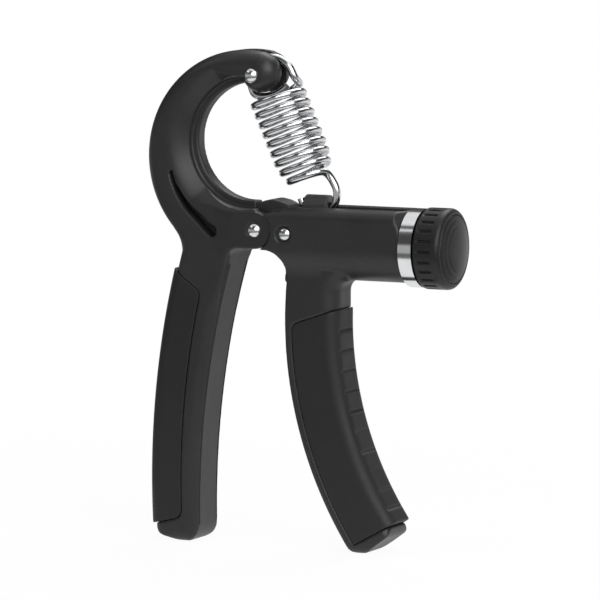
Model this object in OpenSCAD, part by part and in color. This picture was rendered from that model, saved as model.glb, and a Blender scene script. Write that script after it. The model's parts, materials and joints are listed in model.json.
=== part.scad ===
// Adjustable hand grip strengthener. The palm handle carries a C-shaped arm, the finger handle
// turns on a pin between the palm handle's ears and carries a tube with a resistance knob, and an
// extension spring runs from the end of the arm to a slider that the knob's screw moves.
// Sizes are in millimetres. Everything is laid out round the pivot, with X towards the knob, Y to
// the back and Z up, and the whole is then stood on its two feet. A place in the plane of the
// handles is written as [x, z].

/* [Arm] */
// Outer radius of the C-shaped arm
arm_r = 33.2; // [31:0.1:36]
// Distance of the arm's centre from the pivot, away from the knob
arm_back = 5.2; // [4:0.1:7]
// Height of the arm's centre over the pivot
arm_up = 21.6; // [20:0.1:24]
// Width of the arm and of the handles, front to back
handle_w = 15.8; // [15:0.1:17]
// Radius of the arm's inner edge
throat_r = 20.4; // [19:0.1:21.5]
// Height of the inner edge's centre over the arm's centre
throat_up = 5; // [4:0.1:6]
// Width of the arm's sloping face beside its inner edge
flare_w = 9; // [7:0.1:11]
// Width of the arm's inner edge, front to back
throat_edge_w = 8.6; // [7:0.1:10]
// How far the inner rim stands in from the inner edge
rim_h = 2.3; // [1.5:0.1:3]
// Width of the inner rim, front to back
rim_w = 5; // [4:0.1:6]
// Radius of the arm's round end
bulb_r = 6.2; // [6:0.1:6.8]
// Radius of the concave waist between arm and palm grip
waist_r = 9.6; // [8:0.1:12]

/* [Palm grip] */
// Reach of the palm pad from the pivot, away from the knob
palm_reach = 37.3; // [36:0.1:39]
// Radius of the palm grip's outer side
palm_arc_r = 273; // [250:1:300]
// Depth under the pivot at which the palm grip is farthest out
palm_arc_down = 79; // [74:1:84]
// Width of the palm grip at its low end
palm_w = 16.9; // [15.5:0.1:18]
// Radius of the palm grip's inner side
palm_in_r = 283; // [260:1:300]
// Depth under the pivot at which the palm grip's inner side is farthest out
palm_in_down = 88; // [84:1:92]

/* [Finger grip] */
// Distance from the pivot to the inner side of the finger grip at its top
finger_x = 9.4; // [8.6:0.1:10.4]
// Radius of the finger grip's inner side
finger_arc_r = 124; // [118:1:130]
// Depth under the pivot at which the finger grip points straight down
finger_arc_down = 27; // [25:1:30]
// Width of the finger grip
finger_w = 16.5; // [15.5:0.1:18]
// Number of grooves across the finger pad
groove_count = 11; // [6:1:12]
// Width of the grooves across the finger pad
groove_w = 0.9; // [0.6:0.1:1.4]
// How far the finger pad's outer face stands proud of the grip's neck
face_proud = 1; // [0.6:0.1:1.4]

/* [Pads and feet] */
// Depth of both feet under the pivot
foot_down = 97.9; // [97:0.1:101]
// Thickness of the pads
pad_t = 2.2; // [1.8:0.1:2.6]
// How far the pads stand proud of the handles at their outer sides
pad_proud = 1.4; // [0.8:0.1:1.6]
// Gap between a pad and the recess that it sits in
pad_gap = 0.06; // [0.04:0.01:0.1]

/* [Pivot] */
// Radius of the round ends of the ears
ear_r = 5.7; // [5.3:0.1:6]
// Width over both ears
ear_w = 19.2; // [18:0.1:20.4]
// Width of the tongue between the ears
tongue_w = 9; // [8:0.1:10]
// Thickness of each pivot washer
washer_t = 0.4; // [0.3:0.05:0.6]
// Radius of the shafts of the pins at the pivot and at the end of the arm
pin_r = 1.9; // [1.6:0.1:2]
// Radius of the shaft of the pin that holds the screw
retainer_r = 1.5; // [1.3:0.1:1.6]
// Radius of the pins' domed heads
head_r = 2.35; // [2.2:0.05:2.6]
// Running clearance of a turning pin or shaft, on the radius
run_gap = 0.05; // [0.03:0.01:0.08]
// Clearance between parts that move past each other
move_gap = 0.3; // [0.3:0.05:0.5]

/* [Tube and slider] */
// Radius of the tube's round underside, and half its width
tube_r = 10.85; // [10.4:0.05:11.2]
// Height of the tube's flat top over the pivot
tube_top = 7.5; // [6.8:0.1:7.6]
// Rounding of the tube's upper edges
tube_edge_r = 4; // [3:0.1:5]
// Depth of the tube's axis under the pivot
tube_down = 3.9; // [3.5:0.1:4.4]
// Distance from the pivot to the tube's end
tube_end = 49.3; // [48.6:0.1:52]
// Width of the slider
slider_w = 7.8; // [7:0.1:8.4]
// Length of the slider
slider_l = 8.7; // [8:0.1:9.4]
// Travel of the slider along the tube
travel = 23; // [18:0.5:23.5]
// Radius of the adjusting screw
screw_r = 3; // [2.5:0.1:3.4]
// Distance from the pivot to the pin that holds the screw
retainer_x = 10.6; // [10.4:0.1:11]

/* [Collar and knob] */
// Radius of the bright collar
collar_r = 12; // [11.6:0.05:12.2]
// Length of the collar
collar_l = 4.3; // [3.5:0.1:5.5]
// Radius of the knob
knob_r = 12.4; // [12.2:0.05:13.2]
// Length of the knob's ribbed barrel
knob_l = 7.1; // [6.6:0.1:8]
// Number of grooves round the knob
knob_grooves = 24; // [16:1:30]

/* [Spring] */
// Diameter of the spring's wire
wire_d = 2.4; // [2.1:0.05:2.5]
// Mean radius of the spring's coil
coil_r = 7.75; // [7.6:0.05:8]
// Rise of the spring's coil per turn
coil_pitch = 3.17; // [2.95:0.01:3.2]
// Tilt of the spring from the vertical
coil_tilt = 24.3; // [23.5:0.1:25]

/* [Hidden] */
$fn = 128;

half_w = handle_w / 2;
turn = 360;
far = 60; // reach of a cut that goes right through
edge_r = 4.6; // rounding of the arm's outer edges
waist_edge_r = 4.2; // rounding of the waist's edges
grip_edge_r = 3.2; // rounding of the grips' outer edges
inner_edge_r = 1.2; // rounding of the grips' inner edges
foot_edge_r = 3.6; // rounding of the feet, front and back
neck_edge_r = 5; // rounding of the edges of the finger grip's top
neck_flare_r = 12; // radius of the hollow between the finger grip's faces and the tube
palm_strip = 11.3; // how far the palm pad reaches over the handle's faces
finger_strip = 13.8; // how far the finger pad reaches over the handle's faces
seam_r = 3; // rounding of the corners of the seams round the pads
bulb_lean = 10.5; // lean of the arm's end, seen from the arm's centre

// Centres of the arm's circles
arm_c = [-arm_back, arm_up];
throat_c = arm_c + [1, throat_up];
bulb_c = arm_c + (arm_r - bulb_r - 0.15) * [sin(bulb_lean), cos(bulb_lean)];
spring_pin_c = bulb_c + [-1.5, -0.7];

// Centres of the palm grip's arcs
palm_c = [palm_arc_r - palm_reach, -palm_arc_down];
palm_core_r = palm_arc_r - pad_proud;
palm_in_c = [palm_w - palm_reach + palm_in_r, -palm_in_down];
waist_c = circles_meet(arm_c, arm_r + waist_r, palm_c, palm_core_r + waist_r);

// Centre of the finger grip's arcs
finger_c = [finger_x + finger_arc_r, -finger_arc_down];
finger_out_r = finger_arc_r - finger_w;
finger_core_r = finger_out_r + pad_proud;
finger_face_r = finger_out_r - face_proud;

// The pivot and what turns round it
tongue_r = ear_r + 0.5;
slot_half = tongue_w / 2 + washer_t + run_gap;
retainer_c = [retainer_x, -0.7];

// The tube, its slot and its screw
tube_c = -tube_down;
slot_w = slider_w + 2 * move_gap;
slider_x = 12.8;
slot_floor = tube_c - 5.4;
hook_c = [slider_x + 4.8, 10];
hook_r = 6.1;
slot_x = 9.6;
nut_end = slider_x + slider_l + travel + 1.5;
slot_end = nut_end + 1.4;
retainer_w = 2 * tube_r - 1.7;
neck_r = retainer_c[1] - tube_c - retainer_r - move_gap; // the screw's neck beside its pin
neck_l = 4.6;
screw_start = 6.5;
fillet_c = [3.9, -12];
fillet_r = 6.2;
rim_end = -2.3;
bush_out_r = 3;
bush_r = 4.6;
bush_x = nut_end + 0.4;
spigot_r = 8.6;
spigot_end = tube_end + 4.3;

// The seams round the pads
palm_top_seam = [-27.4, -14];
palm_top_tilt = -36;
palm_low_seam = [-29, 6.9 - foot_down];
palm_low_tilt = 14;
finger_top_seam = [21, -25.4];
finger_top_tilt = 19;
finger_low_seam = [41, 7.3 - foot_down];
finger_low_tilt = 29.5;

// The collar, the knob and what closes it
collar_x = tube_end + 0.1;
knob_x = collar_x + collar_l + 0.4;
knob_end = knob_x + knob_l;
lip_l = 1.8; // rounding of the knob's outer edge
knob_face = knob_end + lip_l;
face_r = knob_r - lip_l;
cap_r = face_r - 0.15;
cap_t = 2.4;
dome_h = 2;
screw_head_h = 1.8;
washer_h = 0.6;
knob_floor = knob_face - cap_t - move_gap - screw_head_h - washer_h;

// Frame: the middle of the whole length, and the floor
frame_x = -(knob_face + dome_h - arm_back - arm_r) / 2;
frame_z = foot_down;

// The left one of the two places at which two circles meet
function circles_meet(a, ra, b, rb) =
    let (d = norm(b - a), u = (b - a) / d, along = (ra * ra - rb * rb + d * d) / (2 * d))
    a + along * u + sqrt(ra * ra - along * along) * [u[1], -u[0]];

// Stands what is laid out round the pivot on its feet
module in_frame() {
    translate([frame_x, 0, frame_z]) children();
}

// Turns a flat outline in x and z into a plate of thickness t, in the middle of the width
module plate(t) {
    rotate([90, 0, 0]) linear_extrude(height = t, center = true) children();
}

// Puts what is drawn about its own Z axis across the handles, at a place in their plane
module across(p) {
    translate([p[0], 0, p[1]]) rotate([90, 0, 0]) children();
}

// Revolves a section about a line across the handles, from one angle to another
module swept(p, from, to) {
    across(p) rotate_extrude(angle = to - from, start = from) children();
}

// A round hole or pin across the handles, through the whole width
module cross_pin(p, r, w = 2 * far) {
    across(p) cylinder(r = r, h = w, center = true);
}

// A cylinder along the tube's axis, from x0 to x1
module on_axis(x0, x1, r0, r1) {
    translate([x0, 0, tube_c]) rotate([0, 90, 0]) cylinder(r1 = r0, r2 = r1, h = x1 - x0);
}

// Everything on the far side of a line through p, which leaves p at the given angle
module beyond(p, angle) {
    translate([p[0], 0, p[1]]) rotate([0, -angle, 0]) translate([-far, -far, 0]) cube(2 * far);
}

// A section from radius r0 to r1 and of half thickness h, with rounded corners at r0 and r1
module bar_section(r0, r1, h, c0, c1) {
    difference() {
        translate([r0, -h]) square([r1 - r0, 2 * h]);
        for (s = [-1, 1]) {
            if (c0 > 0) corner_waste(r0, s * h, c0, 1, -s);
            if (c1 > 0) corner_waste(r1, s * h, c1, -1, -s);
        }
    }
}

// What a rounding of radius c takes off the corner at x, y of a body that lies towards dx and dy
module corner_waste(x, y, c, dx, dy) {
    translate([x, y]) mirror([dx < 0 ? 1 : 0, 0, 0]) mirror([0, dy < 0 ? 1 : 0, 0]) difference() {
        translate([-1, -1]) square(c + 1);
        translate([c, c]) circle(r = c);
    }
}

// A pin with a domed head at each end, for a hole through a body of width w
module domed_pin(p, w, shaft) {
    head_h = 1.5;
    across(p) {
        cylinder(r = shaft, h = w, center = true);
        for (s = [-1, 1]) translate([0, 0, s * (w / 2 - 0.5)]) dome(head_r, head_h, s);
    }
}

// A flat-bottomed dome of radius r and height h, towards s
module dome(r, h, s) {
    big = (r * r + h * h) / (2 * h);
    intersection() {
        translate([0, 0, s * (h - big)]) sphere(r = big);
        translate([0, 0, s * h / 2]) cylinder(r = r, h = h, center = true);
    }
}

// Hole and shallow seats for a domed pin
module pin_hole(p, w, r) {
    across(p) {
        cylinder(r = r, h = 2 * far, center = true);
        for (s = [-1, 1]) translate([0, 0, s * (w / 2 - 0.5 + far)])
            cylinder(r = head_r + 0.3, h = 2 * far, center = true);
    }
}

// ---- Palm handle ----

// The arm: a rounded ring that runs on into the concave waist, with a round end
module arm() {
    top = 90 - bulb_lean;
    low = atan2(waist_c[1] - arm_c[1], waist_c[0] - arm_c[0]) + turn;
    swept(arm_c, top, low) bar_section(throat_r - 8, arm_r, half_w, 0, edge_r);
    swept(waist_c, low - 238, low - 180)
        bar_section(waist_r, waist_r + 12, half_w, waist_edge_r, 0);
}

// The arm's round end, in which the spring's pin sits
module bulb() {
    across(bulb_c) rotate_extrude() intersection() {
        bar_section(-bulb_r, bulb_r, half_w + 0.1, 5, 5);
        translate([0, -far]) square([far, 2 * far]);
    }
}

// Body between the arm, the waist, the ears and the grip
module web_outline() {
    fillet = 3.4;
    side = palm_in_c[0] - sqrt(pow(palm_in_r, 2) - pow(palm_in_c[1] + ear_r + fillet, 2));
    difference() {
        polygon([
            [-26, 6], [-20, 12], [0, 12], [0, -ear_r], [side + fillet, -ear_r],
            [side + fillet, -ear_r - fillet], [side, -ear_r - fillet], [-20, -26],
            [-23, -16], [-22, -7]
        ]);
        translate([side + fillet, -ear_r - fillet]) circle(r = fillet);
    }
}

// The palm grip between its two arcs, out to radius out_r
module palm_bar(out_r, half, reach) {
    intersection() {
        swept(palm_c, 164, 186) bar_section(out_r - reach, out_r, half, 0, grip_edge_r);
        swept(palm_in_c, 160, 186)
            bar_section(palm_in_r, palm_in_r + reach, half, inner_edge_r, 0);
    }
}

// What the palm pad takes up, from its front edge at radius r to its own outer side
module palm_pad_shape(r, out_r, inner_r, half, inner_half, gap) {
    intersection() {
        difference() {
            swept(palm_c, 164, 186) bar_section(r, out_r, half, 0, grip_edge_r + 0.6);
            swept(palm_c, 163, 187) bar_section(r - 5, inner_r, inner_half, 0, grip_edge_r - 1);
        }
        pad_ends(palm_top_seam, palm_top_tilt, palm_low_seam, palm_low_tilt, gap);
        seam_corner(palm_c, palm_arc_r - palm_strip, 1, palm_top_seam, palm_top_tilt, 1, gap);
        seam_corner(palm_c, palm_arc_r - palm_strip, 1, palm_low_seam, palm_low_tilt, -1, gap);
    }
}

// All but what is outside a rounded corner between a seam at radius r about c and a seam through
// p, tilted: the pad lies outside r where out is 1, and under the tilted seam where up is 1
module seam_corner(c, r, out, p, tilt, up, gap) {
    u = [cos(tilt), sin(tilt)];
    n = up * [-sin(tilt), cos(tilt)];
    w = p - seam_r * n - c;
    along = sqrt(pow(w * u, 2) - w * w + pow(r + out * seam_r, 2));
    q = p - seam_r * n - (w * u + along) * u;
    m = out * (c - q) / norm(c - q);
    difference() {
        cube(4 * far, center = true);
        plate(2 * far) difference() {
            polygon(up * out < 0 ? [q, q + far * n, q + far * (n + m), q + far * m]
                : [q, q + far * m, q + far * (n + m), q + far * n]);
            translate(q) circle(r = seam_r + gap);
        }
    }
}

// The space between two slanting planes, gap wider at each
module pad_ends(top, top_angle, low, low_angle, gap) {
    difference() {
        cube(4 * far, center = true);
        beyond(top + [0, gap], top_angle);
        mirror([0, 0, 1]) beyond([low[0], gap - low[1]], -low_angle);
    }
}

module palm_pad() {
    color("#28292b") palm_pad_shape(palm_arc_r - palm_strip, palm_arc_r, palm_arc_r - pad_t,
        half_w + 0.05, half_w - pad_t, 0);
}

module palm_handle() {
    color("#303134") difference() {
        union() {
            difference() {
                union() {
                    arm();
                    plate(handle_w) web_outline();
                    palm_foot() palm_bar(palm_core_r, half_w, 40);
                }
                difference() {
                    throat();
                    ear_keep();
                }
                cross_pin(throat_c, throat_r);
                crescents();
            }
            bulb();
            ears();
            rim();
        }
        palm_pad_shape(palm_arc_r - palm_strip - pad_gap, palm_arc_r + 5,
            palm_arc_r - pad_t - pad_gap, half_w + 5, half_w - pad_t - pad_gap, pad_gap);
        fork_slot();
        ear_slot();
        pin_hole(spring_pin_c, 2 * half_w + 0.2, pin_r + 0.02);
        pin_hole([0, 0], ear_w, pin_r + 0.02);
    }
}

// The two ears: from the handle's faces each rises in a flat cone to the ear's face
module ears() {
    cone_r = 15;
    flat_r = 8.5;
    intersection() {
        across([0, 0]) for (s = [0, 1]) mirror([0, 0, s])
            cylinder(r1 = cone_r + (cone_r - flat_r) * half_w / (ear_w / 2 - half_w), r2 = flat_r,
                h = ear_w / 2);
        plate(ear_w) difference() {
            union() {
                circle(r = ear_r);
                web_outline();
            }
            translate(throat_c) circle(r = throat_r);
        }
    }
}

// Keeps the ears out of the slope beside the arm's inner edge
module ear_keep() {
    across([0, 0]) for (s = [0, 1]) mirror([0, 0, s])
        cylinder(r1 = ear_r + 7, r2 = ear_r + 1, h = ear_w / 2 + 1);
}

// The opening inside the arm, with the slope beside its edge
module throat() {
    drop = half_w - throat_edge_w / 2;
    slope_r = (flare_w * flare_w + drop * drop) / (2 * drop);
    across(throat_c) rotate_extrude() difference() {
        translate([0, -far]) square([throat_r + flare_w, 2 * far]);
        intersection() {
            for (s = [-1, 1]) translate([throat_r + flare_w, s * (half_w - slope_r)])
                circle(r = slope_r);
            translate([throat_r, -far]) square([far, 2 * far]);
        }
    }
}

// The rim along the inside of the arm, up to its blunt end over the ears
module rim() {
    end_angle = asin((rim_end - throat_c[0]) / throat_r);
    swept(throat_c, 84, 270 + end_angle - 0.5)
        bar_section(throat_r - rim_h, throat_r + 1.4, rim_w / 2, 0.6, 0);
}

// The long hollow in each face where the arm meets the handle
module crescents() {
    end_c = [-16.2, 0.9];
    depth = 2.5;
    for (s = [0, 1]) mirror([0, s, 0]) translate([0, depth - half_w, 0])
        rotate([90, 0, 0]) linear_extrude(height = far) {
            translate(end_c) circle(r = 1.95);
            difference() {
                intersection() {
                    translate(arm_c) circle(r = arm_r - 8.2);
                    translate([end_c[0] - far, -far]) square([far, 2 * far]);
                }
                translate(arm_c + [-2.2, 1.8]) circle(r = arm_r - 10.9);
                translate([-far, 18]) square([2 * far, far]);
            }
        }
}

// The slot in the arm's round end for the spring's loop
module fork_slot() {
    plate(wire_d + 0.8) {
        translate(spring_pin_c + [-1.2, 0]) circle(r = 5.2);
        translate(spring_pin_c + [-1.2, -5.2]) square([far, far]);
        translate(spring_pin_c + [-6.4, 0]) square([far, far]);
        translate(spring_pin_c + [0, -far]) square([far, far]);
    }
}

// The slot between the ears for the tongue
module ear_slot() {
    plate(2 * slot_half) {
        circle(r = tongue_r);
        translate([0, -far]) square([far, 2 * far - 30]);
        translate([rim_end, 0]) square([far, 30]);
    }
}

// Rounds the lower end of the palm grip
module palm_foot() {
    intersection() {
        children();
        plate(2 * far) {
            foot_outline([-31, 5.2 - foot_down], 4, [-26, 5.35 - foot_down], 5.6, -far);
            translate([-far, 6 - foot_down]) square([2 * far, 2 * far]);
        }
        foot_block();
    }
}

// Two circles on the floor, joined, with all that lies over them
module foot_outline(a, ra, b, rb, left) {
    u = (b - a) / norm(b - a);
    tilt = asin((rb - ra) / norm(b - a));
    n = [u[1] * cos(tilt) - u[0] * sin(tilt), -u[0] * cos(tilt) - u[1] * sin(tilt)];
    translate(a) circle(r = ra);
    translate(b) circle(r = rb);
    polygon([a - [ra, 0], a + ra * n, b + rb * n, b + [rb, 0], b + [rb, far], a + [-ra, far]]);
}

// Rounds the feet's front and back edges and cuts them flat on the floor
module foot_block() {
    translate([-far, 0, -foot_down]) rotate([90, 0, 90]) linear_extrude(height = 3 * far) {
        difference() {
            translate([-half_w, 0]) square([2 * half_w, foot_edge_r + 1]);
            for (s = [-1, 1]) corner_waste(s * half_w, 0, foot_edge_r, -s, 1);
        }
        translate([-far, foot_edge_r]) square([2 * far, 3 * far]);
    }
}

// ---- Finger handle ----

// The finger grip from radius out_r to radius in_r about its centre
module finger_bar(out_r, in_r, half, c_out, c_in) {
    swept(finger_c, 170, 228) bar_section(out_r, in_r, half, c_out, c_in);
}

// What the finger pad takes up, from its own outer side to its front edge at radius r
module finger_pad_shape(r, out_r, inner_r, half, inner_half, gap) {
    intersection() {
        difference() {
            finger_bar(out_r, r, half, grip_edge_r + 0.6, 0);
            swept(finger_c, 168, 230) bar_section(inner_r, r + 5, inner_half, grip_edge_r - 1, 0);
        }
        pad_ends(finger_top_seam, finger_top_tilt, finger_low_seam, finger_low_tilt, gap);
        seam_corner(finger_c, finger_arc_r - finger_w + finger_strip, -1, finger_top_seam,
            finger_top_tilt, 1, gap);
    }
}

// The pad with its row of short grooves across the outer face
module finger_pad() {
    first = 181.75;
    step = 33.75 / (groove_count - 1);
    depth = 0.9;
    half_angle = asin(groove_w / 2 / finger_face_r);
    color("#28292b") difference() {
        finger_pad_shape(finger_arc_r - finger_w + finger_strip, finger_face_r,
            finger_out_r + pad_t, half_w + 0.05, half_w - pad_t, 0);
        for (i = [0 : groove_count - 1])
            swept(finger_c, first + i * step - half_angle, first + i * step + half_angle)
                bar_section(finger_face_r - 1, finger_face_r + depth, half_w - 2.7, 0, 0.8);
    }
}

module finger_handle() {
    color("#303134") difference() {
        union() {
            tube_block();
            plate(tongue_w) tongue_outline();
            finger_foot() finger_bar(finger_core_r, finger_arc_r, half_w, grip_edge_r, inner_edge_r);
            neck();
        }
        finger_pad_shape(finger_arc_r - finger_w + finger_strip + pad_gap, finger_out_r - 5,
            finger_out_r + pad_t + pad_gap, half_w + 5, half_w - pad_t - pad_gap, pad_gap);
        slider_slot();
        on_axis(screw_start - 0.5, tube_end + far, screw_r + run_gap, screw_r + run_gap);
        on_axis(bush_x - run_gap, tube_end + far, bush_r + 0.02, bush_r + 0.02);
        cross_pin([0, 0], bush_out_r + 0.02);
        pin_hole(retainer_c, retainer_w, retainer_r + 0.02);
    }
}

// The tube with its spigot, cut to the outline of the shoulder
module tube_block() {
    end_round = 2;
    intersection() {
        union() {
            intersection() {
                translate([1, 0, 0]) rotate([90, 0, 90]) linear_extrude(height = tube_end - 1)
                    tube_section();
                union() {
                    on_axis(0, tube_end - end_round, far, far);
                    on_axis(tube_end - end_round, tube_end, collar_r + end_round, collar_r - 0.3);
                }
            }
            on_axis(tube_end - 1, spigot_end, spigot_r, spigot_r);
        }
        difference() {
            plate(2 * far) shoulder_outline();
            across([0, 0]) for (s = [0, 1]) mirror([0, 0, s]) translate([0, 0, tongue_w / 2])
                cylinder(r = ear_r + move_gap, h = far);
        }
    }
}

// Section of the tube, in y and z: round below, with upright sides and a flat top
module tube_section() {
    c = tube_edge_r;
    translate([0, tube_c]) circle(r = tube_r);
    translate([-tube_r, tube_c]) square([2 * tube_r, tube_top - c - tube_c]);
    translate([c - tube_r, 0]) square([2 * (tube_r - c), tube_top]);
    for (s = [-1, 1]) translate([s * (tube_r - c), tube_top - c]) circle(r = c);
}

// Outline of the shoulder between the ears, the tube and the grip
module shoulder_outline() {
    difference() {
        polygon([
            [-1, 5.6], [3, 5.3], [8.2, 6.2], [11.3, tube_top], [2 * far, tube_top], [2 * far, -far],
            [2, -far], [2, -5.8], [-1, -5.8]
        ]);
        translate(fillet_c) circle(r = fillet_r);
        translate([-far, -2 * far]) square([far + fillet_c[0] + fillet_r, 2 * far + fillet_c[1]]);
        translate([-far, -2 * far]) square([far + fillet_c[0], 2 * far - 5.8]);
    }
}

// The tongue between the ears, with the hump that stops against the arm's rim
module tongue_outline() {
    circle(r = ear_r);
    difference() {
        polygon([
            [0, -ear_r], [0, 5], [rim_end + move_gap, 5], [rim_end + move_gap, 7.4], [0.5, 8.7],
            [3.6, 9.4], [6.6, 8.8], [slot_x - 0.4, 7.7], [slot_x, 6], [slot_x + 6, 5], [slot_x + 6, -14],
            [11, -14], [6, -5.8]
        ]);
        translate(fillet_c) circle(r = fillet_r);
    }
}

// The grip's top: a post under the tube, flush with the pad, that flares out into the tube
module neck() {
    low = -30;
    under = tube_c - tube_r;
    fillet = 3.6;
    right = finger_c[0] - sqrt(pow(finger_out_r, 2) - pow(-19 - finger_c[1], 2)) + 0.4;
    flare_z = tube_c - sqrt(pow(tube_r + neck_flare_r, 2) - pow(half_w + neck_flare_r, 2));
    difference() {
        union() {
            intersection() {
                translate([0, 0, low]) linear_extrude(height = tube_c - low)
                    bar_section(slot_x + 3, right, half_w, 0, neck_edge_r);
                mirror([0, 0, 1]) difference() {
                    translate([-far, -far, 0]) cube(2 * far);
                    beyond([finger_top_seam[0], 0.4 - finger_top_seam[1]], -19);
                }
            }
            swept([right + fillet, under - fillet], 90, 180)
                bar_section(fillet, fillet + 8, half_w, neck_edge_r, 0);
            translate([slot_x, 0, 0]) rotate([90, 0, 90]) linear_extrude(height = right - neck_edge_r - slot_x)
                for (s = [0, 1]) mirror([s, 0]) flare_section(0, half_w, flare_z);
        }
        cross_pin(fillet_c, fillet_r);
    }
}

// Section from x0 out to x1 that flares out to the tube over height z
module flare_section(x0, x1, z) {
    share = tube_r / (tube_r + neck_flare_r);
    top_z = tube_c + share * (z - tube_c);
    difference() {
        translate([x0, z]) square([x1 - x0 + neck_flare_r * (1 - cos(asin((top_z - z) / neck_flare_r))),
            top_z - z]);
        translate([x1 + neck_flare_r, z]) circle(r = neck_flare_r);
    }
}

// The slot that the slider runs in: open at the top, with a lower part for the nut
module slider_slot() {
    translate([slot_x, -slot_w / 2, 1]) cube([slot_end - slot_x, slot_w, far]);
    translate([slider_x - 0.4, -slot_w / 2, slot_floor]) cube([nut_end - slider_x + 0.4, slot_w, far]);
}

// Rounds the lower end of the finger grip
module finger_foot() {
    intersection() {
        children();
        plate(2 * far) {
            foot_outline([34, 5.65 - foot_down], 5.8, [41.2, 7.7 - foot_down], 3.2, -far);
            translate([-far, 6 - foot_down]) square([34 + far, 3 * far]);
            translate([34, 12 - foot_down]) square([far, 3 * far]);
        }
        foot_block();
    }
}

// ---- Pins, bushes and washers ----

module spring_pin() {
    color("#d8dadd") domed_pin(spring_pin_c, 2 * half_w + 0.2, pin_r);
}

module pivot_pin() {
    color("#d8dadd") domed_pin([0, 0], ear_w, pin_r);
}

module retaining_pin() {
    color("#d8dadd") domed_pin(retainer_c, retainer_w, retainer_r);
}

module pivot_washers() {
    color("#c9a35c") across([0, 0]) for (s = [0, 1]) mirror([0, 0, s])
        translate([0, 0, slot_half - washer_t]) ring(4.6, pin_r + 0.1, washer_t);
}

module pivot_bush() {
    color("#c9a35c") across([0, 0]) translate([0, 0, -tongue_w / 2])
        ring(bush_out_r, pin_r + run_gap, tongue_w);
}

module ring(outer, inner, h) {
    difference() {
        cylinder(r = outer, h = h);
        translate([0, 0, -1]) cylinder(r = inner, h = h + 2);
    }
}

module screw_bush() {
    color("#c9a35c") difference() {
        on_axis(bush_x, spigot_end, bush_r, bush_r);
        on_axis(bush_x - 1, spigot_end + 1, screw_r + run_gap, screw_r + run_gap);
    }
}

module collar() {
    color("#c8cacd") difference() {
        on_axis(collar_x, collar_x + collar_l, collar_r, collar_r);
        on_axis(collar_x - 1, tube_end + far, spigot_r + 0.03, spigot_r + 0.03);
    }
}

module thrust_washer() {
    color("#c9a35c") difference() {
        on_axis(spigot_end + 0.02, spigot_end + 0.4, spigot_r - 0.6, spigot_r - 0.6);
        on_axis(spigot_end - 1, spigot_end + 2, screw_r + 0.3, screw_r + 0.3);
    }
}

// ---- Knob ----

module knob() {
    groove = 0.4;
    groove_x = knob_x + 1.4;
    bevel = 0.6;
    color("#1f2022") difference() {
        union() {
            on_axis(knob_x, knob_x + bevel, knob_r - bevel, knob_r);
            on_axis(knob_x + bevel, knob_end, knob_r, knob_r);
            knob_edge();
        }
        for (i = [0 : knob_grooves - 1]) translate([groove_x, 0, tube_c])
            rotate([i * turn / knob_grooves, 0, 0]) translate([0, -groove, knob_r - 0.7])
                cube([knob_l - 2.7, 2 * groove, 2]);
        on_axis(knob_x - 1, knob_end + far, screw_r + 0.02, screw_r + 0.02);
        on_axis(knob_floor, knob_end + far, cap_r + 0.03, cap_r + 0.03);
    }
}

// The knob's outer end, rounded over to its face
module knob_edge() {
    translate([knob_end, 0, tube_c]) rotate([0, 90, 0]) rotate_extrude() {
        translate([0, -1]) square([face_r, lip_l + 1]);
        intersection() {
            translate([face_r, 0]) circle(r = lip_l);
            square(far);
        }
    }
}

module adjusting_screw() {
    nose = 0.5;
    color("#b9bcc0") difference() {
        union() {
            on_axis(screw_start, retainer_x - neck_l / 2, screw_r, screw_r);
            on_axis(screw_start, knob_floor, neck_r, neck_r);
            on_axis(retainer_x + neck_l / 2, knob_floor - nose, screw_r, screw_r);
        }
        on_axis(knob_floor - 9, knob_floor + 1, 1.53, 1.53);
    }
}

module knob_screw() {
    color("#b9bcc0") difference() {
        union() {
            on_axis(knob_floor - 8.5, knob_floor + 1, 1.5, 1.5);
            on_axis(knob_floor + washer_h, knob_floor + washer_h + screw_head_h, 3, 3);
        }
        for (a = [0, 90]) translate([knob_floor + washer_h + 1, 0, tube_c]) rotate([a, 0, 0])
            translate([0, -0.4, -1.8]) cube([2, 0.8, 3.6]);
    }
}

module knob_screw_washer() {
    color("#b9bcc0") difference() {
        on_axis(knob_floor, knob_floor + washer_h, 5, 5);
        on_axis(knob_floor - 1, knob_floor + 2, 1.6, 1.6);
    }
}

// The domed cap that closes the knob, with rings round its face
module knob_end_cap() {
    color("#232426") difference() {
        union() {
            on_axis(knob_face - cap_t, knob_face, cap_r, cap_r);
            translate([knob_face - 0.01, 0, tube_c]) rotate([0, 90, 0]) dome(cap_r, dome_h, 1);
        }
        for (r = [cap_r - 1.4, cap_r - 3.1])
            translate([knob_face + dome_h * (1 - pow(r / cap_r, 2)) - 0.25, 0, tube_c])
                rotate([0, 90, 0]) ring(r, r - 0.35, dome_h);
    }
}

// ---- Slider and spring ----

// The nut that runs on the screw, with the bar that the spring's hook passes under
module slider_nut() {
    eye = 1.45;
    color("#232426") difference() {
        plate(slider_w) polygon([
            [slider_x, slot_floor + 0.6], [slider_x, 7.5], [slider_x + 2.4, 10.9],
            [slider_x + 6.6, 10.9], [slider_x + slider_l, 9.2],
            [slider_x + slider_l, slot_floor + 0.6]
        ]);
        on_axis(slider_x - 1, slider_x + slider_l + 1, screw_r + run_gap, screw_r + run_gap);
        across(hook_c) translate([0, 0, -eye]) ring(hook_r + 1.4, hook_r - 1.35, 2 * eye);
    }
}

// Places along the spring, in the spring's own terms: e across it in the handles' plane, s down
// its axis, y to the back
along = [sin(coil_tilt), -cos(coil_tilt)];
side = [cos(coil_tilt), sin(coil_tilt)];
loop_c = spring_pin_c + [3.44, -2.5];
function spring_at(e, s, y) =
    [loop_c[0] + e * side[0] + s * along[0], y, loop_c[1] + e * side[1] + s * along[1]];

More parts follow.
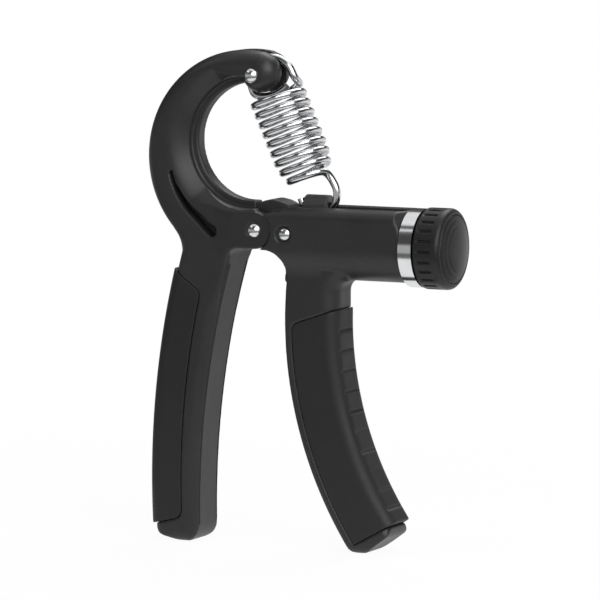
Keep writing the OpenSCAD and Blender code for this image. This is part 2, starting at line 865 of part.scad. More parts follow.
// The loop's centre line at angle t: half round over the pin, flat where it passes the coil
loop_low = 3.7;
function loop_at(t) =
    spring_at((coil_r - 0.4 + 0.35 * cos(t)) * cos(t), (sin(t) > 0 ? -coil_r : -loop_low) * sin(t), 0);

// The coil's centre line after t degrees, and its radius there
coil_start = 3.13;
coil_turns = 9;
function taper(t) = max(0, t - turn * (coil_turns - 2.6)) / turn;
function coil_radius(t) = coil_r - 0.32 * pow(taper(t), 2);
function coil_at(t) =
    spring_at(coil_radius(t) * cos(t), coil_start + coil_pitch * t / turn, coil_radius(t) * sin(t));

// The hook's centre line at angle t
function hook_at(t) = [hook_c[0] + hook_r * cos(t), 0, hook_c[1] + hook_r * sin(t)];

// A smooth bend between two places, each with the direction and pull of the wire there
function bend(a, ta, b, tb, u) =
    pow(1 - u, 3) * a + 3 * pow(1 - u, 2) * u * (a + ta) + 3 * (1 - u) * u * u * (b - tb)
    + pow(u, 3) * b;

ring_step = 45; // one ring for each eighth of a curl
loop_step = 15;
leave = 50;
join = 45;
wire_path = concat(
    [for (t = [305 : -loop_step : 5]) loop_at(t)],
    [for (u = [0 : 0.25 : 0.9]) bend(loop_at(0), 3.2 * [along[0], 0, along[1]],
        coil_at(join), 3.2 * coil_way(join), u)],
    [for (t = [join : ring_step : turn * coil_turns - leave - 5]) coil_at(t)],
    [for (u = [0 : 0.2 : 0.9]) bend(coil_at(turn * coil_turns - leave),
        3.4 * coil_way(turn * coil_turns - leave), hook_at(30), 5 * hook_way(30), u)],
    [for (t = [30 : -loop_step : -165]) hook_at(t)]
);
function unit(v) = v / norm(v);
function coil_way(t) = unit(coil_at(t + 1) - coil_at(t - 1));
function hook_way(t) = unit(hook_at(t - 1) - hook_at(t + 1));

// A tube of six sides along a path: each ring's first side is carried on from the last ring
path_n = len(wire_path);
function way(i) = unit(wire_path[min(i + 1, path_n - 1)] - wire_path[max(i - 1, 0)]);
function square_to(v, w) = unit(v - (v * w) * w);
wire_ups = [for (i = 0, up = square_to([0, 1, 0], way(0)); i < path_n;
    i = i + 1, up = square_to(up, way(min(i, path_n - 1)))) up];
wire_sides = 6;
wire_rings = [for (i = [0 : path_n - 1], k = [0 : wire_sides - 1])
    wire_path[i] + wire_d / 2 * (cos(k * 60) * wire_ups[i] + sin(k * 60) * cross(way(i), wire_ups[i]))];
function quad(a, b, c, d) = [[a, b, c], [a, c, d]];
wire_faces = concat(
    [for (i = [0 : path_n - 2], k = [0 : wire_sides - 1], f = quad(
        i * wire_sides + k, i * wire_sides + (k + 1) % wire_sides,
        (i + 1) * wire_sides + (k + 1) % wire_sides, (i + 1) * wire_sides + k)) f],
    [for (k = [1 : wire_sides - 2]) [0, k + 1, k]],
    [for (k = [1 : wire_sides - 2])
        [(path_n - 1) * wire_sides, (path_n - 1) * wire_sides + k, (path_n - 1) * wire_sides + k + 1]]
);

// The least gap between places of the wire that are more than half a curl apart
apart = 6;
least_gap = min([for (i = [0 : path_n - 1], j = [i + apart : path_n - 1])
    norm(wire_path[i] - wire_path[j])]) - wire_d;
echo(least_gap = least_gap);

module spring() {
    color("#c8cacd") polyhedron(points = wire_rings, faces = wire_faces);
}

in_frame() palm_handle();
in_frame() palm_pad();
in_frame() spring_pin();
in_frame() pivot_pin();
in_frame() pivot_washers();
in_frame() finger_handle();
in_frame() finger_pad();
in_frame() pivot_bush();
in_frame() retaining_pin();
in_frame() screw_bush();
in_frame() collar();
in_frame() thrust_washer();
in_frame() knob();
in_frame() adjusting_screw();
in_frame() knob_screw();
in_frame() knob_screw_washer();
in_frame() knob_end_cap();
in_frame() slider_nut();
in_frame() spring();
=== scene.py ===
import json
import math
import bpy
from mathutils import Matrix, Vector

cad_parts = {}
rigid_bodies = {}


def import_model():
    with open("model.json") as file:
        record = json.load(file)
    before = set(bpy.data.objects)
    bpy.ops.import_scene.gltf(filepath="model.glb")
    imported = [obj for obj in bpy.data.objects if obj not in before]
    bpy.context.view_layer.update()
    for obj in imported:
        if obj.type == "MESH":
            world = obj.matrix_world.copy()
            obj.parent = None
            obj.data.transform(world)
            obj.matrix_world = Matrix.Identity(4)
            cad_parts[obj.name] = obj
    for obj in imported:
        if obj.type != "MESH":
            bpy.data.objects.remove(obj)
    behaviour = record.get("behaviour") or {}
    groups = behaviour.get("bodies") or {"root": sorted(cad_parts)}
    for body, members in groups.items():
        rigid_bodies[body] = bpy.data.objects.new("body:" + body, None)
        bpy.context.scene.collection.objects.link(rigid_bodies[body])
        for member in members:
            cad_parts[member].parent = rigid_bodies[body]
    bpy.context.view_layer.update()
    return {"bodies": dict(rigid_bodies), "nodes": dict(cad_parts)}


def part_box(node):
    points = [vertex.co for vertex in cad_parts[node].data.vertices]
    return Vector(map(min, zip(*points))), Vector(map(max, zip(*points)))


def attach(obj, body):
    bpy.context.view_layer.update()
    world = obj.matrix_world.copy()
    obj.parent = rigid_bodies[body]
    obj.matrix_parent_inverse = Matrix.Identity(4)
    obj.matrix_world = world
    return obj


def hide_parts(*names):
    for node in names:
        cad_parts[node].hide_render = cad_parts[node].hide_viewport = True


bl_info = {
    "name": "Hand Grip Strengthener",
    "version": (1, 0, 0),
    "blender": (4, 5, 0),
    "location": "View3D > Sidebar > Hand Grip",
    "description": "Dresses an adjustable hand grip strengthener and sets it on a pale studio floor",
    "category": "Object",
}

import bpy
from bpy.props import FloatProperty, FloatVectorProperty, IntProperty, PointerProperty
from mathutils import Vector

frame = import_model()

PALM, FINGER, KNOB, SLIDER, SPRING = (
    "palm_side", "finger_side", "knob_body", "slider_body", "spring_body")

MM = 0.001
SAME_PLACE = 0.001 * MM
ACROSS, ALONG_TUBE = (0, 1, 0), (1, 0, 0)

# The pivot is placed in metres. The other centres are (x, z) in millimetres from the pivot,
# and the radii and the half width are in millimetres.
PIVOT = Vector((-13.3, 0.0, 97.9)) * MM
TUBE_AXIS_Z = PIVOT.z - 3.9 * MM
HOOK_EYE = (17.6, 11.2)
ARM_CENTRE = (-5.2, 21.6)
THROAT_CENTRE = (-4.2, 26.6)
PALM_INNER_CENTRE, PALM_INNER_RADIUS = (262.6, -88.0), 283.0
FINGER_OUTER_CENTRE, FINGER_OUTER_RADIUS = (133.4, -27.0), 106.5
HALF_WIDTH = 7.9


def at(x, z, y=0.0):
    """A place given in millimetres from the pivot: x towards the knob, z up, y to the back."""
    return PIVOT + Vector((x, y, z)) * MM


# ---- Sizes and colours that a user would change ----


def length(name, description, default, low=0.0):
    """A length property, in metres."""
    return FloatProperty(name=name, description=description, default=default, min=low,
                         subtype="DISTANCE", unit="LENGTH", precision=5)


def colour(name, description, default):
    """A colour property, linear red, green and blue."""
    return FloatVectorProperty(name=name, description=description, default=default, size=3,
                               min=0.0, max=1.0, subtype="COLOR")


def share(name, description, default):
    """A property from 0 to 1."""
    return FloatProperty(name=name, description=description, default=default, min=0.0, max=1.0,
                         subtype="FACTOR")


class GripMouldSettings(bpy.types.PropertyGroup):
    """How soft the edges of the moulded pieces are."""

    handle_grain: length("Handle softness", "Voxel size at which the handles' edges are softened",
                         0.42 * MM, 0.0001)
    pad_grain: length("Pad softness", "Voxel size at which the pads' edges are softened",
                      0.33 * MM, 0.0001)
    knob_grain: length("Knob softness", "Voxel size at which the knob's edges are softened",
                       0.25 * MM, 0.0001)
    rounds: IntProperty(name="Smoothing rounds", description="Rounds of smoothing on a moulding",
                        default=3, min=0, max=20)
    edge_rounds: IntProperty(name="Edge rounds", default=24, min=0, max=80,
                             description="Rounds of smoothing where the edges are fuller")


class GripSpringSettings(bpy.types.PropertyGroup):
    """The sizes of the wound spring."""

    wire: length("Wire", "Diameter of the spring wire", 2.4 * MM)
    radius: length("Coil radius", "Mean radius of the coil", 7.75 * MM)
    pitch: length("Pitch", "Rise of the coil in one turn", 3.17 * MM)
    tilt: FloatProperty(name="Tilt", description="Tilt of the coil from the vertical",
                        default=math.radians(24.3), subtype="ANGLE", unit="ROTATION")
    turns: IntProperty(name="Turns", description="Turns of the coil", default=9, min=3, max=16)
    hook: length("Hook radius", "Mean radius of the hook in the slider", 6.1 * MM)


class GripScrewSettings(bpy.types.PropertyGroup):
    """The sizes of the adjusting screw."""

    radius: length("Screw radius", "Outer radius of the thread", 3.0 * MM)
    pitch: length("Thread pitch", "Advance of the thread in one turn", 1.0 * MM)
    depth: length("Thread depth", "Depth of the thread", 0.45 * MM)


class GripFinishSettings(bpy.types.PropertyGroup):
    """The colours and gloss of the finishes."""

    nylon: colour("Handle colour", "Colour of the moulded handles", (0.019, 0.019, 0.0195))
    pad: colour("Pad colour", "Colour of the soft pads", (0.0095, 0.0095, 0.01))
    knob: colour("Knob colour", "Colour of the knob", (0.013, 0.013, 0.0135))
    metal: colour("Bright metal colour", "Colour of the plated steel", (0.86, 0.87, 0.88))
    wire: colour("Wire colour", "Colour of the spring wire", (0.8, 0.81, 0.83))
    brass: colour("Brass colour", "Colour of the bushes", (0.72, 0.53, 0.25))
    nylon_gloss: share("Handle roughness", "Roughness of the moulded handles", 0.42)
    pad_gloss: share("Pad roughness", "Roughness of the soft pads", 0.58)


class GripStageSettings(bpy.types.PropertyGroup):
    """The camera's place and framing."""

    azimuth: FloatProperty(name="Azimuth", description="Camera's angle round to the knob's side",
                           default=math.radians(25.5), subtype="ANGLE", unit="ROTATION")
    elevation: FloatProperty(name="Elevation", description="Camera's angle over the horizon",
                             default=math.radians(6.2), subtype="ANGLE", unit="ROTATION")
    distance: length("Distance", "Distance from the camera to the pivot", 1.68)
    lens: FloatProperty(name="Lens", description="Focal length in millimetres", default=328.5,
                        min=10.0, max=1000.0)
    centre_x: FloatProperty(name="Pivot across", default=-0.055, min=-0.5, max=0.5,
                            description="Where the pivot lies across the view, from its middle")
    centre_y: FloatProperty(name="Pivot up", default=0.12, min=-0.5, max=0.5,
                            description="Where the pivot lies up the view, from its middle")


# ---- Shader expressions ----


class Socket:
    """A socket in a node tree, on which sums are written as Python expressions."""

    def __init__(self, nodes, socket):
        self.nodes, self.socket = nodes, socket

    def __add__(self, other):
        return self.nodes.maths("ADD", self, other)

    def __radd__(self, other):
        return self.nodes.maths("ADD", other, self)

    def __sub__(self, other):
        return self.nodes.maths("SUBTRACT", self, other)

    def __rsub__(self, other):
        return self.nodes.maths("SUBTRACT", other, self)

    def __mul__(self, other):
        return self.nodes.maths("MULTIPLY", self, other)

    def __rmul__(self, other):
        return self.nodes.maths("MULTIPLY", other, self)

    def __abs__(self):
        return self.nodes.maths("ABSOLUTE", self, 0.0)

    def clamp(self):
        """This value held between 0 and 1."""
        return self.nodes.make("ShaderNodeClamp", {"Value": self})["Result"]

    def step(self, low, high):
        """A smooth step from 0 at low to 1 at high."""
        return self.nodes.make(
            "ShaderNodeMapRange", {"Value": self, "From Min": low, "From Max": high},
            interpolation_type="SMOOTHSTEP")["Result"]


class Made:
    """A node that has been made: its outputs are read by their name or their place."""

    def __init__(self, nodes, node):
        self.nodes, self.node = nodes, node

    def __getitem__(self, output):
        return Socket(self.nodes, self.node.outputs[output])


class Nodes:
    """A node tree that is written as expressions."""

    def __init__(self, tree):
        self.tree = tree
        tree.nodes.clear()

    def make(self, kind, values=None, **settings):
        """A node of a type: its settings are set first, then its sockets' values or links."""
        node = self.tree.nodes.new(kind)
        for name, value in settings.items():
            setattr(node, name, value)
        for name, value in (values or {}).items():
            target = node.inputs[name]
            if isinstance(value, Socket):
                self.tree.links.new(value.socket, target)
            elif isinstance(value, tuple) and target.type == "RGBA" and len(value) == 3:
                target.default_value = (*value, 1.0)
            else:
                target.default_value = value
        return Made(self, node)

    def maths(self, operation, a, b):
        """One Math node."""
        return self.make("ShaderNodeMath", {0: a, 1: b}, operation=operation)["Value"]

    def mix(self, factor, a, b):
        """A colour between two colours."""
        return self.make("ShaderNodeMix", {0: factor, 6: a, 7: b}, data_type="RGBA")[2]

    def place(self, scale=(1.0, 1.0, 1.0)):
        """Object coordinates, scaled."""
        where = self.make("ShaderNodeTexCoord")["Object"]
        return self.make("ShaderNodeMapping", {"Vector": where, "Scale": scale})["Vector"]

    def noise(self, where, scale, detail, roughness):
        """Noise from 0 to 1."""
        return self.make("ShaderNodeTexNoise", {
            "Vector": where, "Scale": scale, "Detail": detail, "Roughness": roughness})["Fac"]

    def bump(self, height, strength, distance):
        """A normal bent by a height."""
        return self.make("ShaderNodeBump", {
            "Height": height, "Strength": strength, "Distance": distance})["Normal"]

    def light_path(self):
        """The kinds of ray that a light or a backdrop can tell apart."""
        return self.make("ShaderNodeLightPath")

    def parted(self, vector):
        """The X, Y and Z of a vector."""
        return self.make("ShaderNodeSeparateXYZ", {"Vector": vector})


def finish(name, values, build):
    """A material with one Principled shader: build gives the sockets that vary."""
    material = bpy.data.materials.new(name)
    material.use_nodes = True
    nodes = Nodes(material.node_tree)
    shader = nodes.make("ShaderNodeBsdfPrincipled", {**values, **build(nodes)})
    nodes.make("ShaderNodeOutputMaterial", {"Surface": shader["BSDF"]})


def tinted(base, factor):
    """A colour made lighter or darker."""
    return tuple(min(1.0, c * factor) for c in base)


def moulded(name, base, roughness, grain, relief, specular):
    """Moulded plastic or rubber: a fine spark-eroded grain, flow clouding and handled gloss."""
    def build(nodes):
        where = nodes.place()
        clouds = nodes.noise(where, scale=38.0, detail=4.0, roughness=0.55)
        fine = nodes.noise(where, scale=grain, detail=2.0, roughness=0.6)
        coarse = nodes.noise(where, scale=grain * 0.31, detail=3.0, roughness=0.5)
        handled = nodes.noise(nodes.place((1.0, 1.0, 0.45)), scale=95.0, detail=5.0,
                              roughness=0.6).step(0.42, 0.68)
        shade = (0.62 * clouds + 0.38 * fine).step(0.25, 0.75)
        return {
            "Base Color": nodes.mix(shade, tinted(base, 0.82), tinted(base, 1.2)),
            "Roughness": (roughness - 0.05) + 0.08 * clouds - 0.07 * handled + 0.05 * fine,
            "Normal": nodes.bump(fine * 0.65 + coarse * 0.35, relief, 0.06 * MM),
        }
    finish(name, {"Specular IOR Level": specular, "Metallic": 0.0}, build)


def plated(name, base, roughness, along=(1.0, 1.0, 1.0), streak=0.25):
    """Bright plated metal with fine polishing lines and the faint clouding of the plating."""
    def build(nodes):
        lines = nodes.noise(nodes.place(along), scale=900.0, detail=2.0, roughness=0.5)
        clouds = nodes.noise(nodes.place(), scale=210.0, detail=3.0, roughness=0.5)
        return {
            "Base Color": nodes.mix(clouds, tuple(base), tinted(base, 0.82)),
            "Roughness": roughness + streak * 0.25 * lines + 0.05 * clouds,
            "Normal": nodes.bump(lines, streak * 0.1, 0.004 * MM),
        }
    finish(name, {"Specular IOR Level": 0.5, "Metallic": 1.0}, build)


# ---- Modelling helpers ----


def only(*objects):
    """Leaves the mode of any object and selects just these."""
    if bpy.context.object and bpy.context.object.mode != "OBJECT":
        bpy.ops.object.mode_set(mode="OBJECT")
    bpy.ops.object.select_all(action="DESELECT")
    for o in objects:
        o.select_set(True)
    if objects:
        bpy.context.view_layer.objects.active = objects[0]


def applied(piece, kind, **settings):
    """Puts a modifier on a piece, sets it and applies it."""
    only(piece)
    modifier = piece.modifiers.new(kind.title(), kind)
    for name, value in settings.items():
        setattr(modifier, name, value)
    bpy.ops.object.modifier_apply(modifier=modifier.name)


def shaded(piece, sharpest=35):
    """Shades a piece smooth, apart from edges sharper than an angle in degrees."""
    only(piece)
    bpy.ops.object.shade_smooth_by_angle(angle=math.radians(sharpest))


def painted(piece, finish_name):
    """Gives a piece one finish."""
    piece.data.materials.clear()
    piece.data.materials.append(bpy.data.materials[finish_name])


def settled(piece, name, finish_name, body, slot, node):
    """Names a finished piece, places it in its mesh, paints it and puts it on its body."""
    only(piece)
    bpy.ops.object.transform_apply(location=True, rotation=True, scale=True)
    piece.name = name
    piece.data.name = name
    painted(piece, finish_name)
    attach(piece, body)
    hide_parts(node)


def merged_copy(node):
    """A copy of a CAD node's mesh, with its loose triangles joined up."""
    piece = bpy.data.objects.new(node + "_copy", frame["nodes"][node].data.copy())
    bpy.context.scene.collection.objects.link(piece)
    only(piece)
    bpy.ops.object.mode_set(mode="EDIT")
    bpy.ops.mesh.select_all(action="SELECT")
    bpy.ops.mesh.remove_doubles(threshold=SAME_PLACE)
    bpy.ops.object.mode_set(mode="OBJECT")
    return piece


def softened(piece, voxel, rounds):
    """Gives a piece the small soft edges that a mould leaves."""
    applied(piece, "REMESH", mode="VOXEL", voxel_size=voxel, use_smooth_shade=True)
    applied(piece, "SMOOTH", factor=0.5, iterations=rounds)
    only(piece)
    bpy.ops.object.shade_smooth()


def soft_where(piece, share_at, rounds):
    """Smooths a piece only where share_at(x, y, z), in millimetres from the pivot, isn't 0."""
    group = piece.vertex_groups.new(name="soft")
    for vertex in piece.data.vertices:
        weight = share_at(*((vertex.co - PIVOT) / MM))
        if weight > 0.0:
            group.add([vertex.index], min(1.0, weight), "REPLACE")
    applied(piece, "SMOOTH", factor=0.5, iterations=rounds, vertex_group="soft")
    piece.vertex_groups.clear()


def fade(value, none, full):
    """0 at none and 1 at full, in a straight line between them."""
    return max(0.0, min(1.0, (value - none) / (full - none)))


def on_arc(centre, radius, degrees):
    """A place on a circle, in millimetres: the angle is from the knob's side, over the top."""
    angle = math.radians(degrees)
    return centre[0] + radius * math.cos(angle), centre[1] + radius * math.sin(angle)


def arc(centre, radius, start, end, steps):
    """Places along an arc, from one angle to another."""
    return [on_arc(centre, radius, start + (end - start) * i / steps) for i in range(steps + 1)]


def spun(profile, centre, axis, steps, sweep=None):
    """A closed outline spun about a line: profile places are (along the axis, radius), in mm.

    Without a sweep it goes all the way round. A sweep is the angles, in degrees, from which and
    to which it is spun about a line across the handles.
    """
    only()
    bpy.ops.mesh.primitive_circle_add(vertices=len(profile), radius=MM, location=(0, 0, 0),
                                      fill_type="NGON" if sweep else "NOTHING")
    piece = bpy.context.object
    along = Vector(axis).normalized()
    out = Vector((0, 0, 1))
    turn = math.tau
    if sweep:
        start = math.radians(sweep[0])
        out = Vector((math.cos(start), 0.0, math.sin(start)))
        turn = math.radians(sweep[1] - sweep[0])
    for vertex, (x, r) in zip(piece.data.vertices, profile):
        vertex.co = Vector(centre) + along * x * MM + out * r * MM
    bpy.ops.object.mode_set(mode="EDIT")
    bpy.ops.mesh.select_all(action="SELECT")
    bpy.ops.mesh.spin(steps=steps, angle=turn, center=centre, axis=along,
                      use_auto_merge=sweep is None)
    bpy.ops.mesh.select_all(action="SELECT")
    bpy.ops.mesh.remove_doubles(threshold=4 * SAME_PLACE)
    bpy.ops.mesh.dissolve_degenerate(threshold=SAME_PLACE)
    bpy.ops.mesh.normals_make_consistent(inside=False)
    bpy.ops.object.mode_set(mode="OBJECT")
    shaded(piece)
    return piece


def turned_in_tube(profile, steps):
    """An outline spun about the tube's axis: profile places are (x from the pivot, radius)."""
    return spun([(x + PIVOT.x / MM, r) for x, r in profile], (0.0, 0.0, TUBE_AXIS_Z), ALONG_TUBE,
                steps)


def prism(outline, shift):
    """A straight-sided block: an outline of places, drawn out by a shift."""
    only()
    bpy.ops.mesh.primitive_circle_add(vertices=len(outline), radius=MM, fill_type="NGON")
    piece = bpy.context.object
    for vertex, spot in zip(piece.data.vertices, outline):
        vertex.co = spot
    bpy.ops.object.mode_set(mode="EDIT")
    bpy.ops.mesh.select_all(action="SELECT")
    bpy.ops.mesh.extrude_region_move(TRANSFORM_OT_translate={"value": shift})
    bpy.ops.mesh.select_all(action="SELECT")
    bpy.ops.mesh.normals_make_consistent(inside=False)
    bpy.ops.object.mode_set(mode="OBJECT")
    return piece


def cut(piece, cutter):
    """Takes one shape out of another."""
    applied(piece, "BOOLEAN", object=cutter, operation="DIFFERENCE", solver="EXACT")
    bpy.data.objects.remove(cutter)


def cut_face(piece, cutter, side, deepest, share_at):
    """Cuts a face with a cutter that is lifted out of it where share_at(place) is less than 1."""
    clear = 0.2
    for vertex in cutter.data.vertices:
        share_cut = share_at((vertex.co - PIVOT) / MM)
        vertex.co.y += side * (1.0 - share_cut) * (deepest + clear) * MM
    cut(piece, cutter)


# ---- Finishes ----

# The pieces that keep their own shape, with their finishes.
BARE_PIECES = {
    "pivot_washers": "Bush brass", "pivot_bush": "Bush brass", "screw_bush": "Bush brass",
    "thrust_washer": "Bush brass", "knob_screw": "Screw steel",
    "knob_screw_washer": "Screw steel", "spring_pin": "Bright plate",
    "pivot_pin": "Bright plate", "retaining_pin": "Bright plate", "collar": "Collar plate"}


class GRIP_OT_finishes(bpy.types.Operator):
    """Make the finishes and put them on the pieces that keep their own shape"""

    bl_idname = "grip.finishes"
    bl_label = "Finishes"

    def execute(self, context):
        paint = context.scene.grip_finish
        moulded("Handle nylon", paint.nylon, paint.nylon_gloss, grain=1500.0, relief=0.35,
                specular=0.4)
        moulded("Soft pad", paint.pad, paint.pad_gloss, grain=2100.0, relief=0.5, specular=0.45)
        moulded("Knob plastic", paint.knob, 0.4, grain=1700.0, relief=0.25, specular=0.3)
        moulded("Cap plastic", tinted(paint.knob, 1.1), 0.36, grain=1900.0, relief=0.15,
                specular=0.22)
        # The slider's plastic is the handle nylon made 2.2 times lighter: painted highlight that
        # stands in for the light falling on its ledge and arched bar.
        moulded("Slider plastic with painted highlight", tinted(paint.nylon, 2.2), 0.38, grain=1500.0, relief=0.3,
                specular=0.6)
        plated("Bright plate", paint.metal, 0.17)
        plated("Collar plate", paint.metal, 0.09, along=(1.0, 0.06, 0.06), streak=0.3)
        plated("Spring wire", paint.wire, 0.1, along=(0.4, 0.4, 1.0), streak=0.2)
        plated("Bush brass", paint.brass, 0.22)
        plated("Screw steel", tinted(paint.metal, 0.72), 0.22, along=(1.0, 0.2, 0.2), streak=0.5)
        for node, finish_name in BARE_PIECES.items():
            painted(frame["nodes"][node], finish_name)
            shaded(frame["nodes"][node])
        return {"FINISHED"}


# ---- Mouldings ----


def hollows(piece):
    """Cuts the deep side of the long hollow in each face of the palm handle's arm.

    The outline goes down the hollow's outer side, round its lower end, and back up an inner side
    that nears the outer one towards the tip.
    """
    outer, widest, taper, steps = 25.0, 2.15, 0.6, 24
    tip, outer_end, inner_end = 191.0, 228.0, 246.0
    end_centre, end_radius = (-15.2, -0.9), 1.8
    depth, clear = 4.6, 1.0
    outline = arc(ARM_CENTRE, outer, tip, outer_end, steps)
    outline += arc(end_centre, end_radius, -133.6, 45.0, 12)
    for i in range(steps - 1, 0, -1):
        along = i / steps
        outline.append(on_arc(ARM_CENTRE, outer - widest * along ** taper,
                              tip + (inner_end - tip) * along))
    for side in (-1, 1):
        cut(piece, prism([at(x, z, side * (HALF_WIDTH + clear)) for x, z in outline],
                         (0.0, -side * (depth + clear) * MM, 0.0)))


def flare(piece):
    """Cuts the slope beside the arm's inner edge: it fades out at the ball end and at the ears."""
    slope = ((27.2, 7.9), (26.0, 7.78), (25.0, 7.5), (24.0, 7.0), (23.0, 6.35), (22.0, 5.5),
             (21.2, 4.7), (20.0, 3.9), (18.0, 3.3))
    outermost, innermost, clear_of_face = slope[0][0], slope[-1][0], 12.0

    def share_at(spot):
        turned = math.degrees(math.atan2(spot.z - THROAT_CENTRE[1],
                                         spot.x - THROAT_CENTRE[0])) % 360.0
        return fade(turned, none=97.0, full=116.0) * fade(turned, none=264.0, full=226.0)

    for side in (-1, 1):
        profile = [(side * y, r) for r, y in slope]
        profile += [(side * clear_of_face, innermost), (side * clear_of_face, outermost)]
        cutter = spun(profile, at(*THROAT_CENTRE), ACROSS, steps=120)
        cut_face(piece, cutter, side, HALF_WIDTH - slope[-1][1], share_at)


def shoulders(piece):
    """Slopes each face of the palm grip towards its inner edge, from below the ears down."""
    drop, wide, r = 1.3, 3.4, PALM_INNER_RADIUS
    clear_of_edge, clear_of_face = 1.0, 2.0
    for side in (-1, 1):
        low, high = side * (HALF_WIDTH - drop), side * (HALF_WIDTH + clear_of_face)
        profile = [(side * HALF_WIDTH, r + wide), (low, r - 0.2), (low, r - clear_of_edge),
                   (high, r - clear_of_edge), (high, r + wide)]
        cutter = spun(profile, at(*PALM_INNER_CENTRE), ACROSS, steps=60, sweep=(163.5, 181.5))
        cut_face(piece, cutter, side, drop, lambda spot: fade(spot.z, none=-9.0, full=-26.0))


def palm_cuts(piece):
    """What is cut from the palm handle beyond its CAD shape."""
    hollows(piece)
    flare(piece)
    shoulders(piece)


def parting_lines(piece):
    """Cuts the fine line beside each inner edge of the palm grip."""
    inner, outer, shallow, deep, clear = 5.5, 6.4, 0.1, 0.8, 1.0
    r = PALM_INNER_RADIUS
    for side in (-1, 1):
        low, high = side * inner, side * outer
        profile = [(low, r - clear), (low, r + shallow), (high, r + deep), (high, r - clear)]
        cut(piece, spun(profile, at(*PALM_INNER_CENTRE), ACROSS, steps=96, sweep=(164.2, 180.9)))
    shaded(piece)


def finger_rounding(piece):
    """Cuts fuller roundings along the finger pad's outer edges."""
    r, face, clear_of_pad, clear_of_face = 4.0, FINGER_OUTER_RADIUS, 10.0, 2.0
    middle = HALF_WIDTH + 0.05 - r
    for side in (-1, 1):
        profile = [(side * (middle + across), face + r - out)
                   for across, out in arc((0.0, 0.0), r, 0.0, 90.0, 10)]
        profile += [(side * middle, face - clear_of_face),
                    (side * clear_of_pad, face - clear_of_face), (side * clear_of_pad, face + r)]
        cut(piece, spun(profile, at(*FINGER_OUTER_CENTRE), ACROSS, steps=96,
                        sweep=(165.0, 235.0)))


def soft_palm(x, y, z):
    """The palm grip's inner edges, below the ears."""
    inward = math.hypot(x - PALM_INNER_CENTRE[0], z - PALM_INNER_CENTRE[1]) - PALM_INNER_RADIUS
    return (fade(inward, none=5.2, full=3.6) * fade(z, none=-7.5, full=-10.0)
            * fade(abs(y), none=6.5, full=6.9))


def soft_hump(x, y, z):
    """The stop hump and the shoulder beside it."""
    return 0.6 * fade(z, none=3.2, full=4.4) * fade(x, none=10.6, full=9.0)


def soft_ribs(x, y, z):
    """The grooved outer face of the finger pad."""
    outward = (math.hypot(x - FINGER_OUTER_CENTRE[0], z - FINGER_OUTER_CENTRE[1])
               - FINGER_OUTER_RADIUS)
    return 0.5 * fade(outward, none=3.4, full=1.6) * fade(abs(y), none=7.2, full=5.6)


# Cuts made before a moulding is softened, where it is softened more, and finer cuts made after.
CUTS = {"palm_handle": palm_cuts, "finger_pad": finger_rounding}
SOFT_PLACES = {"palm_handle": soft_palm, "finger_handle": soft_hump, "finger_pad": soft_ribs}
FINE_CUTS = {"palm_handle": parting_lines}


class GRIP_OT_mouldings(bpy.types.Operator):
    """Make the moulded handles, pads, knob and cap with their soft edges"""

    bl_idname = "grip.mouldings"
    bl_label = "Mouldings"

    def execute(self, context):
        mould = context.scene.grip_mould
        for node, voxel, finish_name, body, slot in (
                ("palm_handle", mould.handle_grain, "Handle nylon", PALM, "handle_nylon"),
                ("finger_handle", mould.handle_grain, "Handle nylon", FINGER, "handle_nylon"),
                ("palm_pad", mould.pad_grain, "Soft pad", PALM, "grip_pad"),
                ("finger_pad", mould.pad_grain, "Soft pad", FINGER, "grip_pad"),
                ("knob", mould.knob_grain, "Knob plastic", KNOB, "knob_plastic"),
                ("knob_end_cap", mould.knob_grain, "Cap plastic", KNOB, "knob_cap_plastic")):
            piece = merged_copy(node)
            if node in CUTS:
                CUTS[node](piece)
            softened(piece, voxel, mould.rounds)
            if node in SOFT_PLACES:
                soft_where(piece, SOFT_PLACES[node], mould.edge_rounds)
            if node in FINE_CUTS:
                FINE_CUTS[node](piece)
            settled(piece, node + "_moulding", finish_name, body, slot, node)
        return {"FINISHED"}


# ---- Slider ----


class GRIP_OT_slider(bpy.types.Operator):
    """Make the slider: a block in the slot with an arched bar on top, which the hook encloses"""

    bl_idname = "grip.slider"
    bl_label = "Slider"

    def execute(self, context):
        left, right, foot, ledge = 13.7, 21.5, -8.7, 8.9
        half, bar_half, bar_top = 3.9, 3.2, 11.0
        bar_radius = (bar_half ** 2 + (bar_top - ledge) ** 2) / (2 * (bar_top - ledge))
        lean = math.degrees(math.asin(bar_half / bar_radius))
        section = [(-half, foot), (-half, ledge)]
        section += arc((0.0, bar_top - bar_radius), bar_radius, 90.0 + lean, 90.0 - lean, 12)
        section += [(half, ledge), (half, foot)]
        piece = prism([at(left, z, y) for y, z in section], ((right - left) * MM, 0.0, 0.0))

        hook, half_groove = context.scene.grip_spring.hook / MM, 1.5
        groove = [(-half_groove, hook - half_groove), (-half_groove, hook + half_groove),
                  (half_groove, hook + half_groove), (half_groove, hook - half_groove)]
        cut(piece, spun(groove, at(*HOOK_EYE), ACROSS, steps=64))
        r, clear = 3.05, 2.0
        bore = [(left - clear, 0.0), (left - clear, r), (right + clear, r), (right + clear, 0.0)]
        cut(piece, turned_in_tube(bore, steps=48))

        softened(piece, voxel=0.2 * MM, rounds=3)
        # The slider's lighter finish is painted highlight for the light on its ledge and bar.
        settled(piece, "slider_block", "Slider plastic with painted highlight", SLIDER, "slider_plastic", "slider_nut")
        return {"FINISHED"}


# ---- Spring ----


def direction(line, t, step=1.0):
    """The way in which a line runs at an angle."""
    return (line(t + step) - line(t - step)).normalized()


def bend(start, start_pull, end, end_pull, u):
    """A place on a smooth bend from start to end, which leaves and arrives along the pulls."""
    v = 1.0 - u
    return (v ** 3 * start + 3 * v * v * u * (start + start_pull)
            + 3 * v * u * u * (end - end_pull) + u ** 3 * end)


